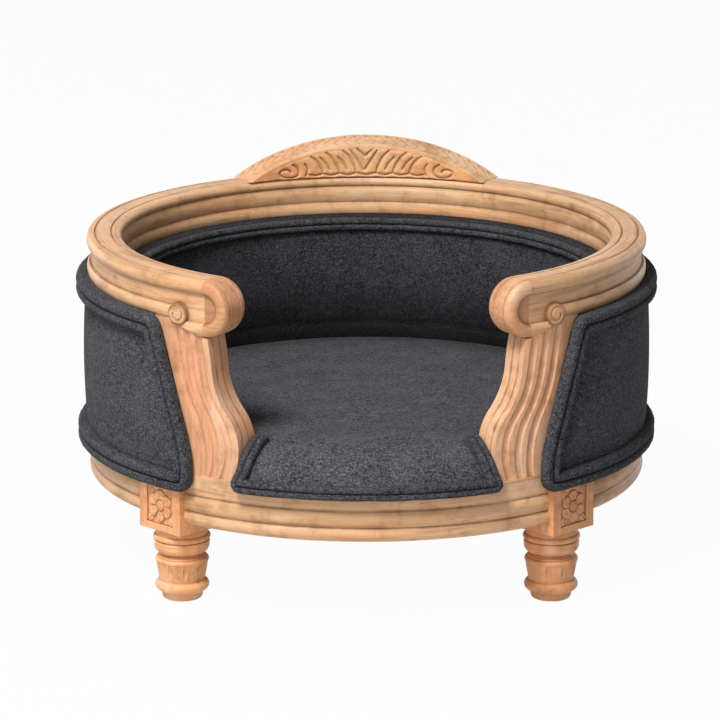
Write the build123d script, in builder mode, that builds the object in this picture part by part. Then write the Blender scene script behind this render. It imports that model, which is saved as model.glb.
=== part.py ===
from build123d import *
import os
from math import asin, atan, cos, degrees, radians, sin, tan

os.makedirs("parts", exist_ok=True)

# A round dog sofa: a moulded base rail on four turned legs, two S-shaped arm posts, a round top
# rail that ends in two scrolls at the open front, an arched crest and tight wool upholstery.
# The plan is a circle about Z. Turns are counted from the front (-Y) towards the right (+X).

# Plan of the frame
frame_radius = 336.0
rail_depth = 42.0
clearance = 0.3
overrun = 12.0

# Base rail: two beads below a plain band
rail_bottom = 102.0
lower_bead_height = 15.5
upper_bead_height = 20.5
band_height = 25.0
band_step = 3.0
rail_bead_bulge = 3.6

# Legs: a square block over a turned part
leg_turn = 45.0
leg_inset = 30.0
block_width = 69.0
block_bottom = 87.0
block_face_top = 141.5
turned_shares = (
    (0.62, 0.000, 0.0), (0.69, 0.036, 0.1), (0.71, 0.110, 0.0), (0.77, 0.262, 0.45),
    (0.885, 0.515, 0.0), (0.82, 0.585, 0.3), (0.78, 0.610, 0.3), (0.73, 0.640, 0.0),
    (0.935, 0.770, 0.2), (0.885, 0.825, 0.25), (0.885, 0.905, 0.45), (0.885, 1.000, 0.0),
)
gouge_count = 10
gouge_radius = 3.2
gouge_length = 24.0
gouge_bottom_share = 0.285

# Rosette on the outward face of each block
rosette_drop = 24.0
rosette_recess = 44.0
rosette_depth = 3.5
petal_count = 6
petal_radius = 6.4
petal_circle_radius = 11.8
petal_rise = 3.2
button_radius = 5.6
button_rise = 4.2
corner_leaf_radius = 4.2
corner_leaf_rise = 2.2

# Top rail: its moulded section and the joints between its segments
arm_height = 395.0
top_rail_height = 50.0
top_bead_height = 16.0
foot_bead_height = 15.0
inner_bead_height = 13.0
top_band_step = 5.5
top_bead_bulge = 2.4
top_edge_drop = 2.0
top_roll_bulge = 0.5
outer_groove_inset = 10.0
inner_groove_inset = 29.4
groove_width = 2.6
groove_depth = 1.8
back_joint_turn = 150.0

# Arm scrolls: the rail turns under about a level axis and curls back to an eye
scroll_radius = 33.5
scroll_turn = 34.0
eye_turn = 40.2
eye_radius = 12.3
eye_drop = 44.0
eye_proud = 0.8
eye_rim = 0.6

# Crest board
crest_half_turn = 30.0
crest_front_rise = 40.4
crest_back_rise = 46.0

# Arm posts: their side faces are cut square to the plane at the post's turn, along S lines whose
# places across are shares of the width
post_turn = 28.0
post_width = 75.0
post_up_shares = (0.0, 0.29, 0.42, 0.70, 1.0)
post_inner_shares = (0.0, -0.116, 0.047, 0.325, 0.456)
post_outer_shares = (0.83, 0.97, 1.09, 1.32, 1.445)
post_flute_shares = (0.17, 0.39, 0.61)
post_flute_radius = 5.5
post_flute_depth = 3.8

# Stiles behind the fabric
stile_width = 40.0
side_stile_turn = 90.0
rear_stile_turn = 150.0

# Seat board and seat
board_thickness = 12.0
seat_fall = 42.0
seat_fall_reach = 42.0
seat_fall_bulge = 8.0
seat_crown_drop = 17.0
seat_crown_forward = 150.0
tongue_thickness = 8.0
tongue_lift = 3.0
tongue_drop = 14.5
tongue_half_turn = 28.0
seat_cord_radius = 4.25
seat_welt_half_turn = 26.4

# Inner back pad and its double welt
pad_thickness = 12.7
pad_half_opening = 36.5
pad_crown_bulge = 3.0
pad_border_step = 2.5
inner_cord_radius = 4.15

# Outer panel and its double welts
panel_bottom = 142.0
panel_thickness = 4.7
panel_crown_bulge = 3.6
panel_edge_turn = 41.0
panel_edge_sweep = 57.0
panel_up_shares = (0.0, 0.15, 0.36, 0.70, 1.0)
panel_edge_shares = (-0.44, -0.48, -0.315, 0.085, 0.43)
outer_cord_radius = 5.75
cord_overlap = 0.5

# Derived radii and heights
inner_radius = frame_radius - rail_depth
band_radius = frame_radius - band_step
rail_groove_radius = frame_radius - rail_bead_bulge
lower_groove_height = rail_bottom + lower_bead_height
upper_groove_height = lower_groove_height + upper_bead_height
rail_top = upper_groove_height + band_height
half_block = block_width / 2
leg_circle_radius = frame_radius - leg_inset
top_rail_bottom = arm_height - top_rail_height
scroll_axis_height = arm_height - scroll_radius
eye_height = arm_height - eye_drop
eye_offset = frame_radius * sin(radians(eye_turn - scroll_turn))
post_height = top_rail_bottom - rail_top
board_bottom = block_face_top
board_top = board_bottom + board_thickness
pad_back_radius = inner_radius - clearance
pad_face_radius = pad_back_radius - pad_thickness
pad_border_radius = pad_face_radius + pad_border_step
pad_bottom = board_top + clearance
pad_top = top_rail_bottom - clearance
panel_back_radius = band_radius + clearance
panel_face_radius = panel_back_radius + panel_thickness
panel_top = top_rail_bottom - clearance
panel_height = panel_top - panel_bottom
outer_cord_pitch = 2 * outer_cord_radius - cord_overlap
outer_welt_width = outer_cord_pitch + 2 * outer_cord_radius
outer_cord_circle = panel_face_radius + clearance + outer_cord_radius
inner_cord_pitch = 2 * inner_cord_radius - cord_overlap
inner_welt_width = inner_cord_pitch + 2 * inner_cord_radius
inner_cord_circle = pad_border_radius - clearance - inner_cord_radius
seat_cord_pitch = 2 * seat_cord_radius - cord_overlap
tongue_back_radius = band_radius + clearance
tongue_face_radius = tongue_back_radius + tongue_thickness
tongue_bottom = rail_top - tongue_drop
tongue_lip_height = rail_top + tongue_lift
seat_crown_height = tongue_lip_height + seat_fall
seat_cord_circle = outer_cord_circle + outer_cord_radius - seat_cord_radius


def meridian(turn):
    """The upright plane through the Z axis at a turn: x runs outwards, y up."""
    angle = radians(turn)
    return Plane(
        origin=(0, 0, 0),
        x_dir=(sin(angle), -cos(angle), 0),
        z_dir=(-cos(angle), -sin(angle), 0),
    )


def facing(turn, radius=0):
    """The upright plane square to the radius at a turn: x runs along the rail, y up."""
    angle = radians(turn)
    outwards = Vector(sin(angle), -cos(angle), 0)
    return Plane(origin=outwards * radius, x_dir=(cos(angle), sin(angle), 0), z_dir=outwards)


def outline(points):
    """A closed face through (x, y, bulge), where a run swells to its right by the bulge at its end."""
    with BuildLine() as loop:
        for start, end in zip(points[-1:] + points[:-1], points):
            if end[2]:
                SagittaArc(start[:2], end[:2], -end[2])
            else:
                Line(start[:2], end[:2])
    make_face(loop.edges())


def spin(turns):
    """Turn the pending section about the Z axis, towards the right."""
    revolve(axis=Axis.Z, revolution_arc=turns)


def dome(radius, rise):
    """A round cap that stands on the current place."""
    ball = (radius**2 + rise**2) / (2 * rise)
    with Locations((0, 0, rise - ball)):
        Sphere(ball)


def rail_section():
    """Section of the base rail."""
    outline([
        (inner_radius, rail_bottom, 0),
        (rail_groove_radius, rail_bottom, 0),
        (rail_groove_radius, lower_groove_height, rail_bead_bulge),
        (rail_groove_radius, upper_groove_height, rail_bead_bulge),
        (band_radius, upper_groove_height, 0),
        (band_radius, rail_top, 0),
        (inner_radius, rail_top, 0),
    ])


def scroll_half(side):
    """Section of the top rail between the scroll axis and its top, upwards or mirrored down."""
    outer = frame_radius - top_bead_bulge
    inner = inner_radius + top_bead_bulge
    band = frame_radius - top_band_step
    outer_groove = frame_radius - outer_groove_inset
    inner_groove = frame_radius - inner_groove_inset
    half = groove_width / 2
    shoulder = scroll_radius - top_edge_drop
    bead_foot = scroll_radius - top_bead_height
    points = [
        (band, 0, 0),
        (band, bead_foot, 0),
        (outer, bead_foot, 0),
        (outer, shoulder, top_bead_bulge),
        (outer_groove + half, scroll_radius, top_roll_bulge),
        (outer_groove, scroll_radius - groove_depth, 0),
        (outer_groove - half, scroll_radius, 0),
        (inner_groove + half, scroll_radius, 0),
        (inner_groove, scroll_radius - groove_depth, 0),
        (inner_groove - half, scroll_radius, 0),
        (inner, shoulder, top_roll_bulge),
        (inner, scroll_radius - inner_bead_height, top_bead_bulge),
        (inner, 0, top_bead_bulge),
    ]
    outline([(x, scroll_axis_height + side * y, side * bulge) for x, y, bulge in points])


def lower_half():
    """Section of the top rail below the scroll axis."""
    outer = frame_radius - top_bead_bulge
    inner = inner_radius + top_bead_bulge
    band = frame_radius - top_band_step
    outline([
        (inner, scroll_axis_height, 0),
        (inner, top_rail_bottom, top_bead_bulge),
        (outer, top_rail_bottom, 0),
        (outer, top_rail_bottom + foot_bead_height, top_bead_bulge),
        (band, top_rail_bottom + foot_bead_height, 0),
        (band, scroll_axis_height, 0),
    ])


def drop_outline(margin):
    """Outline of the wood under the scroll axis, from the scroll's joint back to the eye."""
    low = scroll_axis_height - scroll_radius - eye_rim - margin
    heel = eye_height - eye_radius + eye_rim - margin
    outline([
        (-overrun, scroll_axis_height, 0),
        (-overrun, low, 0),
        (0, low, 0),
        (eye_offset, heel, 0),
        (eye_offset, scroll_axis_height, 0),
    ])


def s_points(shares, up_shares, width, foot, height, shift=0):
    """Five points up an S line, from its foot to its top."""
    return [(share * width + shift, foot + up * height) for share, up in zip(shares, up_shares)]


def s_curve(points):
    """Three arcs through the five points of an S line, each tangent to the last."""
    lower = ThreePointArc(*points[:3])
    middle = TangentArc(points[2], points[3], tangent=lower % 1)
    upper = TangentArc(points[3], points[4], tangent=middle % 1)
    return lower, upper


def s_face(left_points, right_points):
    """A closed face between two S lines."""
    with BuildLine() as loop:
        s_curve(left_points)
        s_curve(right_points)
        Line(left_points[0], right_points[0])
        Line(left_points[-1], right_points[-1])
    make_face(loop.edges())


def post_points(across, shift=0):
    """The S line of the post at a share of the way from its inner to its outer edge."""
    shares = [
        inner + across * (outer - inner)
        for inner, outer in zip(post_inner_shares, post_outer_shares)
    ]
    return s_points(shares, post_up_shares, post_width, rail_top, post_height, shift)


def panel_points(shift=0):
    """The S line of the outer panel's front edge."""
    return s_points(
        panel_edge_shares, panel_up_shares, panel_edge_sweep, panel_bottom, panel_height, shift
    )


def s_tube(plane, points, radius, mode):
    """A round tube along an S line that lies in a plane, run on past both its ends."""
    with BuildLine(plane) as path:
        first, last = s_curve(points)
        Line(first @ 0 - (first % 0) * overrun, first @ 0)
        Line(last @ 1, last @ 1 + (last % 1) * overrun)
    run = path.wires()[0]
    with BuildSketch(Plane(origin=run @ 0, z_dir=run % 0)) as section:
        Circle(radius)
    sweep(section.sketch, path=run, mode=mode)


def finish(piece, name):
    """Label a piece and write it."""
    piece.part.label = name
    export_step(piece.part, f"parts/{name}.step")


def finish_pair(piece, name):
    """Write the right-hand piece and its mirror image on the left."""
    finish(piece, f"{name}_right")
    with BuildPart() as twin:
        mirror(piece.part, about=Plane.YZ)
    finish(twin, f"{name}_left")


# Base rail: four segments, cut flush with the side faces of the leg blocks
for name, middle in (
    ("front_rail", 0), ("side_rail_right", 90), ("rear_rail", 180), ("side_rail_left", 270)
):
    first = facing(middle - leg_turn)
    last = facing(middle + leg_turn)
    with BuildPart() as rail:
        with BuildSketch(meridian(middle - leg_turn)):
            rail_section()
        spin(2 * leg_turn)
        split(bisect_by=Plane(origin=first.x_dir * half_block, z_dir=first.x_dir), keep=Keep.TOP)
        split(bisect_by=Plane(origin=last.x_dir * -half_block, z_dir=-last.x_dir), keep=Keep.TOP)
    finish(rail, name)

# Gouge cut: a spindle about Z, pointed at both ends
with BuildPart() as gouge:
    with BuildSketch(Plane.XZ):
        outline([(0, -gouge_length / 2, 0), (0, gouge_length / 2, gouge_radius)])
    revolve(axis=Axis.Z)

# Leg, made about its own axis with the rosette facing the front
with BuildPart() as leg_pattern:
    with BuildSketch(Plane.XZ):
        turned = [(0, 0, 0)]
        for radius_share, height_share, bulge_share in turned_shares:
            x, y = radius_share * half_block, height_share * block_bottom
            run = abs(Vector(x, y) - Vector(*turned[-1][:2]))
            turned.append((x, y, bulge_share * run))
        turned.append((0, block_bottom, 0))
        outline(turned)
    revolve(axis=Axis.Z)
    # Upright gouges in the cup, leaning with its wall
    cup_foot_radius = turned_shares[3][0] * half_block
    cup_rim_radius = turned_shares[4][0] * half_block
    cup_height = (turned_shares[4][1] - turned_shares[3][1]) * block_bottom
    cup_lean = degrees(atan((cup_rim_radius - cup_foot_radius) / cup_height))
    gouge_middle = gouge_bottom_share * block_bottom + gouge_length / 2
    wall_radius = cup_foot_radius + (cup_rim_radius - cup_foot_radius) * (
        gouge_middle - turned_shares[3][1] * block_bottom
    ) / cup_height
    with Locations((0, 0, gouge_middle)):
        with PolarLocations(wall_radius + gouge_radius / 2, gouge_count):
            with Locations(Rotation(0, cup_lean, 0)):
                add(gouge.part, mode=Mode.SUBTRACT)
    with BuildSketch(Plane.XY.offset(block_bottom)):
        Rectangle(block_width, block_width)
    extrude(amount=block_face_top - block_bottom)
    # Stub between the rails' ends, behind the outer panel
    with BuildSketch(Plane.XY.offset(block_face_top)):
        Rectangle(block_width, block_width)
        with Locations((0, leg_circle_radius)):
            Circle(band_radius, mode=Mode.INTERSECT)
            Circle(inner_radius, mode=Mode.SUBTRACT)
    extrude(amount=rail_top - block_face_top)
    # Rosette in a square recess: domed petals round a button, with a small leaf in each corner
    heart = Plane(
        origin=(0, rosette_depth - half_block, block_face_top - rosette_drop), z_dir=(0, -1, 0)
    )
    with BuildSketch(heart):
        Rectangle(rosette_recess, rosette_recess)
    extrude(amount=rosette_depth, mode=Mode.SUBTRACT)
    with Locations(heart):
        dome(button_radius, button_rise)
        with PolarLocations(petal_circle_radius, petal_count):
            dome(petal_radius, petal_rise)
        corner_pitch = rosette_recess - 2 * corner_leaf_radius - 2 * clearance
        with GridLocations(corner_pitch, corner_pitch, 2, 2):
            dome(corner_leaf_radius, corner_leaf_rise)

for name, turn in (
    ("leg_front_right", leg_turn), ("leg_rear_right", 180 - leg_turn),
    ("leg_rear_left", 180 + leg_turn), ("leg_front_left", -leg_turn),
):
    spot = facing(turn, leg_circle_radius).origin
    with BuildPart() as leg:
        with Locations(Location((spot.X, spot.Y, 0), (0, 0, turn))):
            add(leg_pattern.part)
    finish(leg, name)

# Seat board, laid on the inner corners of the leg blocks
with BuildPart() as seat_board:
    with BuildSketch(Plane.XY.offset(board_bottom)):
        Circle(inner_radius - clearance)
    extrude(amount=board_thickness)
finish(seat_board, "seat_board")

# Lower part of the rail behind the scroll, rising to the eye
with BuildPart() as scroll_drop:
    with BuildSketch(meridian(scroll_turn)):
        scroll_half(-1)
    spin(eye_turn - scroll_turn)
    with BuildSketch(facing(scroll_turn, inner_radius - overrun)):
        drop_outline(0)
    extrude(amount=rail_depth + 2 * overrun, mode=Mode.INTERSECT)

# Side segment of the top rail, from the scroll's joint to the back joint
eye_reach = frame_radius * cos(radians(eye_turn - scroll_turn)) + eye_proud
with BuildPart() as top_rail:
    with BuildSketch(meridian(scroll_turn)):
        scroll_half(1)
    spin(back_joint_turn - scroll_turn)
    with BuildSketch(meridian(eye_turn)):
        lower_half()
    spin(back_joint_turn - eye_turn)
    add(scroll_drop.part)
    with BuildSketch(facing(scroll_turn, eye_reach)):
        with Locations((eye_offset, eye_height)):
            Circle(eye_radius)
    extrude(amount=-rail_depth / 2)
finish_pair(top_rail, "top_rail")

# Back segment of the top rail
with BuildPart() as top_rail_back:
    with BuildSketch(meridian(back_joint_turn)):
        scroll_half(1)
        lower_half()
    spin(2 * (180 - back_joint_turn))
finish(top_rail_back, "top_rail_back")

# Rounded tip of each arm: the upper half of the rail's section turned under the scroll axis
with BuildPart() as arm_scroll:
    joint = meridian(scroll_turn)
    with BuildSketch(joint):
        scroll_half(1)
    revolve(axis=Axis((0, 0, scroll_axis_height), joint.x_dir), revolution_arc=180)
finish_pair(arm_scroll, "arm_scroll")

# Crest board: an arch on the rail that widens and rises towards the back
crest_near = inner_radius * cos(radians(crest_half_turn))
crest_slope = (crest_back_rise - crest_front_rise) / rail_depth
with BuildPart() as crest_arch:
    for depth in (crest_near - overrun, frame_radius + overrun):
        half_width = depth * tan(radians(crest_half_turn))
        rise = crest_front_rise + (depth - inner_radius) * crest_slope
        with BuildSketch(Plane.XZ.offset(-depth)):
            with BuildLine():
                ThreePointArc(
                    (-half_width, arm_height), (0, arm_height + rise), (half_width, arm_height)
                )
                Line((half_width, arm_height), (-half_width, arm_height))
            make_face()
    loft(ruled=True)

with BuildPart() as crest_board:
    with BuildSketch(meridian(180 - crest_half_turn)):
        outline([
            (inner_radius, arm_height, 0),
            (frame_radius, arm_height, 0),
            (frame_radius, arm_height + crest_back_rise + overrun, 0),
            (inner_radius, arm_height + crest_back_rise + overrun, 0),
        ])
    spin(2 * crest_half_turn)
    add(crest_arch.part, mode=Mode.INTERSECT)
finish(crest_board, "crest_board")

# Arm posts: an S outline cut through the ring's depth, fluted along the S
with BuildPart() as arm_post:
    with BuildSketch(facing(post_turn, inner_radius - rail_depth)):
        s_face(post_points(0), post_points(1))
    extrude(amount=2 * rail_depth + overrun)
    with BuildSketch(Plane.XY.offset(rail_top)):
        Circle(band_radius)
        Circle(inner_radius, mode=Mode.SUBTRACT)
    extrude(amount=post_height, mode=Mode.INTERSECT)
    for across in post_flute_shares:
        line = post_points(across)
        middle = (line[0][0] + line[-1][0]) / 2
        lane = facing(
            post_turn + degrees(asin(middle / band_radius)),
            band_radius - post_flute_depth + post_flute_radius,
        )
        s_tube(lane, post_points(across, -middle), post_flute_radius, Mode.SUBTRACT)
    # Room under the scroll, the wood behind it and the eye
    with BuildSketch(facing(scroll_turn, inner_radius - overrun)):
        drop_outline(clearance)
        with Locations((0, scroll_axis_height)):
            Circle(scroll_radius + clearance)
        with Locations((eye_offset, eye_height)):
            Circle(eye_radius + clearance)
    extrude(amount=rail_depth + 2 * overrun, mode=Mode.SUBTRACT)
finish_pair(arm_post, "arm_post")

# Stiles that carry the top rail behind the fabric
for name, turn in (("side_stile", side_stile_turn), ("rear_stile", rear_stile_turn)):
    with BuildPart() as stile:
        with BuildSketch(facing(turn, inner_radius - overrun)):
            with Locations((0, rail_top + post_height / 2)):
                Rectangle(stile_width, post_height)
        extrude(amount=rail_depth + 2 * overrun)
        with BuildSketch(Plane.XY.offset(rail_top)):
            Circle(band_radius)
            Circle(inner_radius, mode=Mode.SUBTRACT)
        extrude(amount=post_height, mode=Mode.INTERSECT)
    finish_pair(stile, name)


# Room for the post beside the seat's tongue, above and below the top of the rail
with BuildPart() as post_room:
    with BuildSketch(facing(post_turn, inner_radius - rail_depth)):
        s_face(post_points(0, -clearance), post_points(1, post_width))
        with Locations((post_width / 2 + post_inner_shares[0] * post_width - clearance, rail_top)):
            Rectangle(post_width, 2 * tongue_drop)
    extrude(amount=2 * rail_depth + overrun)
    with BuildSketch(Plane.XY):
        Circle(inner_radius - clearance)
    extrude(amount=arm_height, mode=Mode.SUBTRACT)

# Seat: a disc with a crown that leans to the front, filled out between the ends of the back pad,
# with a tongue that rolls over the rail
seat_radius = pad_face_radius - clearance
seat_bottom = board_top + clearance
crown_ball = (seat_radius + seat_crown_forward) ** 2 / (2 * seat_crown_drop)
with BuildPart() as seat_pad:
    with BuildSketch(Plane.XZ):
        outline([
            (0, seat_bottom, 0),
            (inner_radius - clearance, seat_bottom, 0),
            (inner_radius - clearance, rail_top + clearance, 0),
            (tongue_back_radius, rail_top + clearance, 0),
            (tongue_back_radius, tongue_bottom, 0),
            (tongue_face_radius, tongue_bottom, 0),
            (tongue_face_radius, tongue_lip_height - seat_cord_radius, 0),
            (tongue_face_radius - seat_cord_radius, tongue_lip_height, seat_cord_radius / 4),
            (tongue_face_radius - seat_fall_reach, seat_crown_height, seat_fall_bulge),
            (0, seat_crown_height, 0),
        ])
    revolve(axis=Axis.Z)
    with Locations((0, -seat_crown_forward, seat_crown_height - crown_ball)):
        Sphere(crown_ball, mode=Mode.INTERSECT)
    for half_turn, radius in (
        (pad_half_opening - clearance, seat_radius),
        (tongue_half_turn, inner_radius - clearance),
    ):
        with BuildSketch(meridian(half_turn)):
            outline([
                (radius, 0, 0),
                (frame_radius + overrun, 0, 0),
                (frame_radius + overrun, seat_crown_height + overrun, 0),
                (radius, seat_crown_height + overrun, 0),
            ])
        revolve(axis=Axis.Z, revolution_arc=360 - 2 * half_turn, mode=Mode.SUBTRACT)
    # The tongue follows the inner edges of the posts
    add(post_room.part, mode=Mode.SUBTRACT)
    mirror(post_room.part, about=Plane.YZ, mode=Mode.SUBTRACT)
finish(seat_pad, "seat_pad")

# Double welt along the foot of the tongue
with BuildPart() as seat_welt:
    with BuildSketch(meridian(-seat_welt_half_turn)):
        for row in range(2):
            with Locations((seat_cord_circle, tongue_bottom + seat_cord_radius + row * seat_cord_pitch)):
                Circle(seat_cord_radius)
    spin(2 * seat_welt_half_turn)
finish(seat_welt, "seat_welt")

# Inner back pad: crowned between the seat and the border under the rail
with BuildPart() as inner_back_pad:
    with BuildSketch(meridian(pad_half_opening)):
        border_bottom = pad_top - inner_welt_width - clearance
        outline([
            (pad_face_radius, pad_bottom, 0),
            (pad_back_radius, pad_bottom, 0),
            (pad_back_radius, pad_top, 0),
            (pad_border_radius, pad_top, 0),
            (pad_border_radius, border_bottom, 0),
            (pad_face_radius, border_bottom, 0),
            (pad_face_radius, seat_crown_height + clearance, pad_crown_bulge),
        ])
    spin(360 - 2 * pad_half_opening)
finish(inner_back_pad, "inner_back_pad")

with BuildPart() as inner_back_welt:
    with BuildSketch(meridian(pad_half_opening)):
        for row in range(2):
            with Locations((inner_cord_circle, pad_top - inner_cord_radius - row * inner_cord_pitch)):
                Circle(inner_cord_radius)
    spin(360 - 2 * pad_half_opening)
finish(inner_back_welt, "inner_back_welt")

# Outer panel: a thin shell round the frame with a crowned field inside its borders
border_width = outer_welt_width + clearance
field_bottom = panel_bottom + border_width
field_top = panel_top - border_width
panel_start = panel_edge_turn + degrees(
    asin(min(panel_edge_shares) * panel_edge_sweep / panel_back_radius)
)
panel_arc = 360 - 2 * panel_start


def trim_to_edge(inset):
    """Cut a shell back to an S line that lies the inset behind the panel's front edge."""
    with BuildPart() as front:
        with BuildSketch(facing(panel_edge_turn, inner_radius)):
            s_face(panel_points(-panel_edge_sweep), panel_points(inset))
        extrude(amount=rail_depth + 2 * overrun)
    add(front.part, mode=Mode.SUBTRACT)
    mirror(front.part, about=Plane.YZ, mode=Mode.SUBTRACT)


with BuildPart() as panel_field:
    with BuildSketch(meridian(panel_start)):
        outline([
            (panel_back_radius, field_bottom, 0),
            (panel_face_radius, field_bottom, 0),
            (panel_face_radius, field_top, panel_crown_bulge),
            (panel_back_radius, field_top, 0),
        ])
    spin(panel_arc)
    trim_to_edge(border_width)

with BuildPart() as outer_panel:
    with BuildSketch(meridian(panel_start)):
        outline([
            (panel_back_radius, panel_bottom, 0),
            (panel_face_radius, panel_bottom, 0),
            (panel_face_radius, panel_top, 0),
            (panel_back_radius, panel_top, 0),
        ])
    spin(panel_arc)
    trim_to_edge(0)
    add(panel_field.part)
finish(outer_panel, "outer_panel")

# Double welts round the panel: along its foot, under the rail and up its front edges
for name, height, edge_share in (
    ("outer_welt_bottom", panel_bottom + outer_cord_radius, panel_edge_shares[0]),
    ("outer_welt_top", panel_top - outer_cord_radius - outer_cord_pitch, panel_edge_shares[-1]),
):
    start = panel_edge_turn + degrees(asin(edge_share * panel_edge_sweep / outer_cord_circle))
    with BuildPart() as outer_welt:
        with BuildSketch(meridian(start)):
            for row in range(2):
                with Locations((outer_cord_circle, height + row * outer_cord_pitch)):
                    Circle(outer_cord_radius)
        spin(360 - 2 * start)
    finish(outer_welt, name)

with BuildPart() as front_welt:
    for row in range(2):
        inset = outer_cord_radius + row * outer_cord_pitch
        lane = facing(panel_edge_turn, outer_cord_circle + clearance)
        s_tube(lane, panel_points(inset), outer_cord_radius, Mode.ADD)
    split(bisect_by=Plane.XY.offset(field_bottom), keep=Keep.TOP)
    split(bisect_by=Plane.XY.offset(field_top), keep=Keep.BOTTOM)
finish_pair(front_welt, "outer_welt_front")
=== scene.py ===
from math import cos, degrees, pi, radians, sin, tan

import bmesh
import bpy
import numpy as np
from bpy.props import FloatProperty, FloatVectorProperty, IntProperty, PointerProperty
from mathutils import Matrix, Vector, noise


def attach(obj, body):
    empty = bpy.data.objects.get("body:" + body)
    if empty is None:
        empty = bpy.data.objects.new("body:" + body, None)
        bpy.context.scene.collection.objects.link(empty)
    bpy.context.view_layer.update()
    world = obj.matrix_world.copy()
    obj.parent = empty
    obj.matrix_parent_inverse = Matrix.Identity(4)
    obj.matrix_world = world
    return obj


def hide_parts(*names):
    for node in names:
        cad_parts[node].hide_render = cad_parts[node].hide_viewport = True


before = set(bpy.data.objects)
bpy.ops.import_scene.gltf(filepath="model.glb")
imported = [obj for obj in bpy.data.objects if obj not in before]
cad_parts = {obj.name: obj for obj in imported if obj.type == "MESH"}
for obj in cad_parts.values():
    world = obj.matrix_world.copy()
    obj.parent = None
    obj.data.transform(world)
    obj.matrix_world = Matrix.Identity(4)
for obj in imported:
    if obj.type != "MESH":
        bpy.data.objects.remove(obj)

bl_info = {
    "name": "Round Dog Sofa",
    "version": (1, 0, 0),
    "blender": (4, 5, 0),
    "location": "View3D > Sidebar > Dog Sofa",
    "description": "Upholstery, carving and finishes for a round dog sofa with a carved frame",
    "category": "Object",
}

# The plan is a circle about Z. Turns are counted in degrees from the front (-Y) towards +X.


def length(name, default, description):
    """A length that a user can change, in metres."""
    return FloatProperty(name=name, description=description, default=default, unit="LENGTH")


def colour(name, default, description):
    """A colour that a user can change."""
    return FloatVectorProperty(
        name=name, description=description, default=default, subtype="COLOR", min=0, max=1)


class SofaSizes(bpy.types.PropertyGroup):
    """Sizes of the upholstery and the carving"""

    seat_crown: length("Seat Crown", 0.2075, "Height of the highest place of the seat")
    seat_drop: length("Seat Drop", 0.0170, "How far the seat falls from there to its rear edge")
    seat_lip: length("Seat Lip", 0.168, "Height of the seat's front lip")
    seat_tuck: length(
        "Seat Tuck", 0.007, "How far the seat's edge rolls down beside the back pad")
    seat_cord: length("Seat Cord", 0.00425, "Radius of each cord of the seat's double welt")
    back_cord: length("Back Cord", 0.00415, "Radius of each cord of the inner back's welt")
    panel_cord: length("Panel Cord", 0.00575, "Radius of each cord of the outer panel's welt")
    panel_crown: length(
        "Panel Crown", 0.0036, "How far the outer panel swells between its welts")
    back_crown: length("Back Crown", 0.0034, "How far the inner back pad swells")
    carving_depth: length("Carving Depth", 0.0023, "Depth of the cuts in the crest")
    petals: IntProperty(
        name="Petals", description="Petals of the rosette on each leg block", default=6,
        min=4, max=9)


class SofaColours(bpy.types.PropertyGroup):
    """Colours of the timber, the cloth and the floor"""

    rail_wood: colour("Rail Wood", (0.740, 0.435, 0.225), "Honey-coloured timber of the rails")
    carved_wood: colour(
        "Carved Wood", (0.800, 0.385, 0.170), "Pinker timber of the legs and the crest")
    post_wood: colour("Post Wood", (0.770, 0.415, 0.230), "Pale pink timber of the arm posts")
    dark_wood: colour("Dark Wood", (0.610, 0.310, 0.150), "Browner timber of the arm scrolls")
    hidden_wood: colour("Hidden Wood", (0.550, 0.420, 0.280), "Rough timber behind the cloth")
    plywood: colour("Plywood", (0.620, 0.490, 0.330), "Plywood of the seat board")
    wool: colour("Wool", (0.042, 0.0415, 0.047), "Charcoal of the wool cloth")
    fleck: colour("Fleck", (0.165, 0.163, 0.180), "Pale fibres in the wool cloth")
    floor: colour("Floor", (0.72, 0.72, 0.72), "Colour of the studio floor")


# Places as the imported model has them: radii and heights in metres, turns in degrees
INNER_RADIUS = 0.294
FRAME_RADIUS = 0.336
RAIL_TOP = 0.163
ARM_TOP = 0.395
PAD_BOTTOM = 0.1538
PAD_TOP = 0.3447
PANEL_BOTTOM = 0.142
EYE_HEIGHT = 0.351
POST_TURN = 28.0
SCROLL_TURN = 34.0
PANEL_FRONT_TURN = 41.0
FULL_TURN = 360
# Folds up to these degrees look smooth
WELT_CREASE = 75.0
CARVED_CREASE = 70.0
# Radius at which the grain of curved timber is measured along the curve
GRAIN_RADIUS = 0.315


# Shaping

def spot(turn, radius, height):
    """Points at turns, radii and heights."""
    turn, radius, height = np.broadcast_arrays(
        np.radians(np.asarray(turn, float)), radius, height)
    return np.stack([radius * np.sin(turn), -radius * np.cos(turn), height], -1)


def facing_spot(turn, along, out, height):
    """Points on the upright plane that faces a turn: along the rail, out from Z, and height."""
    angle = radians(turn)
    along, out, height = np.broadcast_arrays(
        np.asarray(along, float), np.asarray(out, float), np.asarray(height, float))
    return np.stack([
        out * sin(angle) + along * cos(angle), -out * cos(angle) + along * sin(angle), height], -1)


def ease(value):
    """0 to 1, with soft ends."""
    value = np.clip(value, 0.0, 1.0)
    return value * value * (3 - 2 * value)


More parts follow.
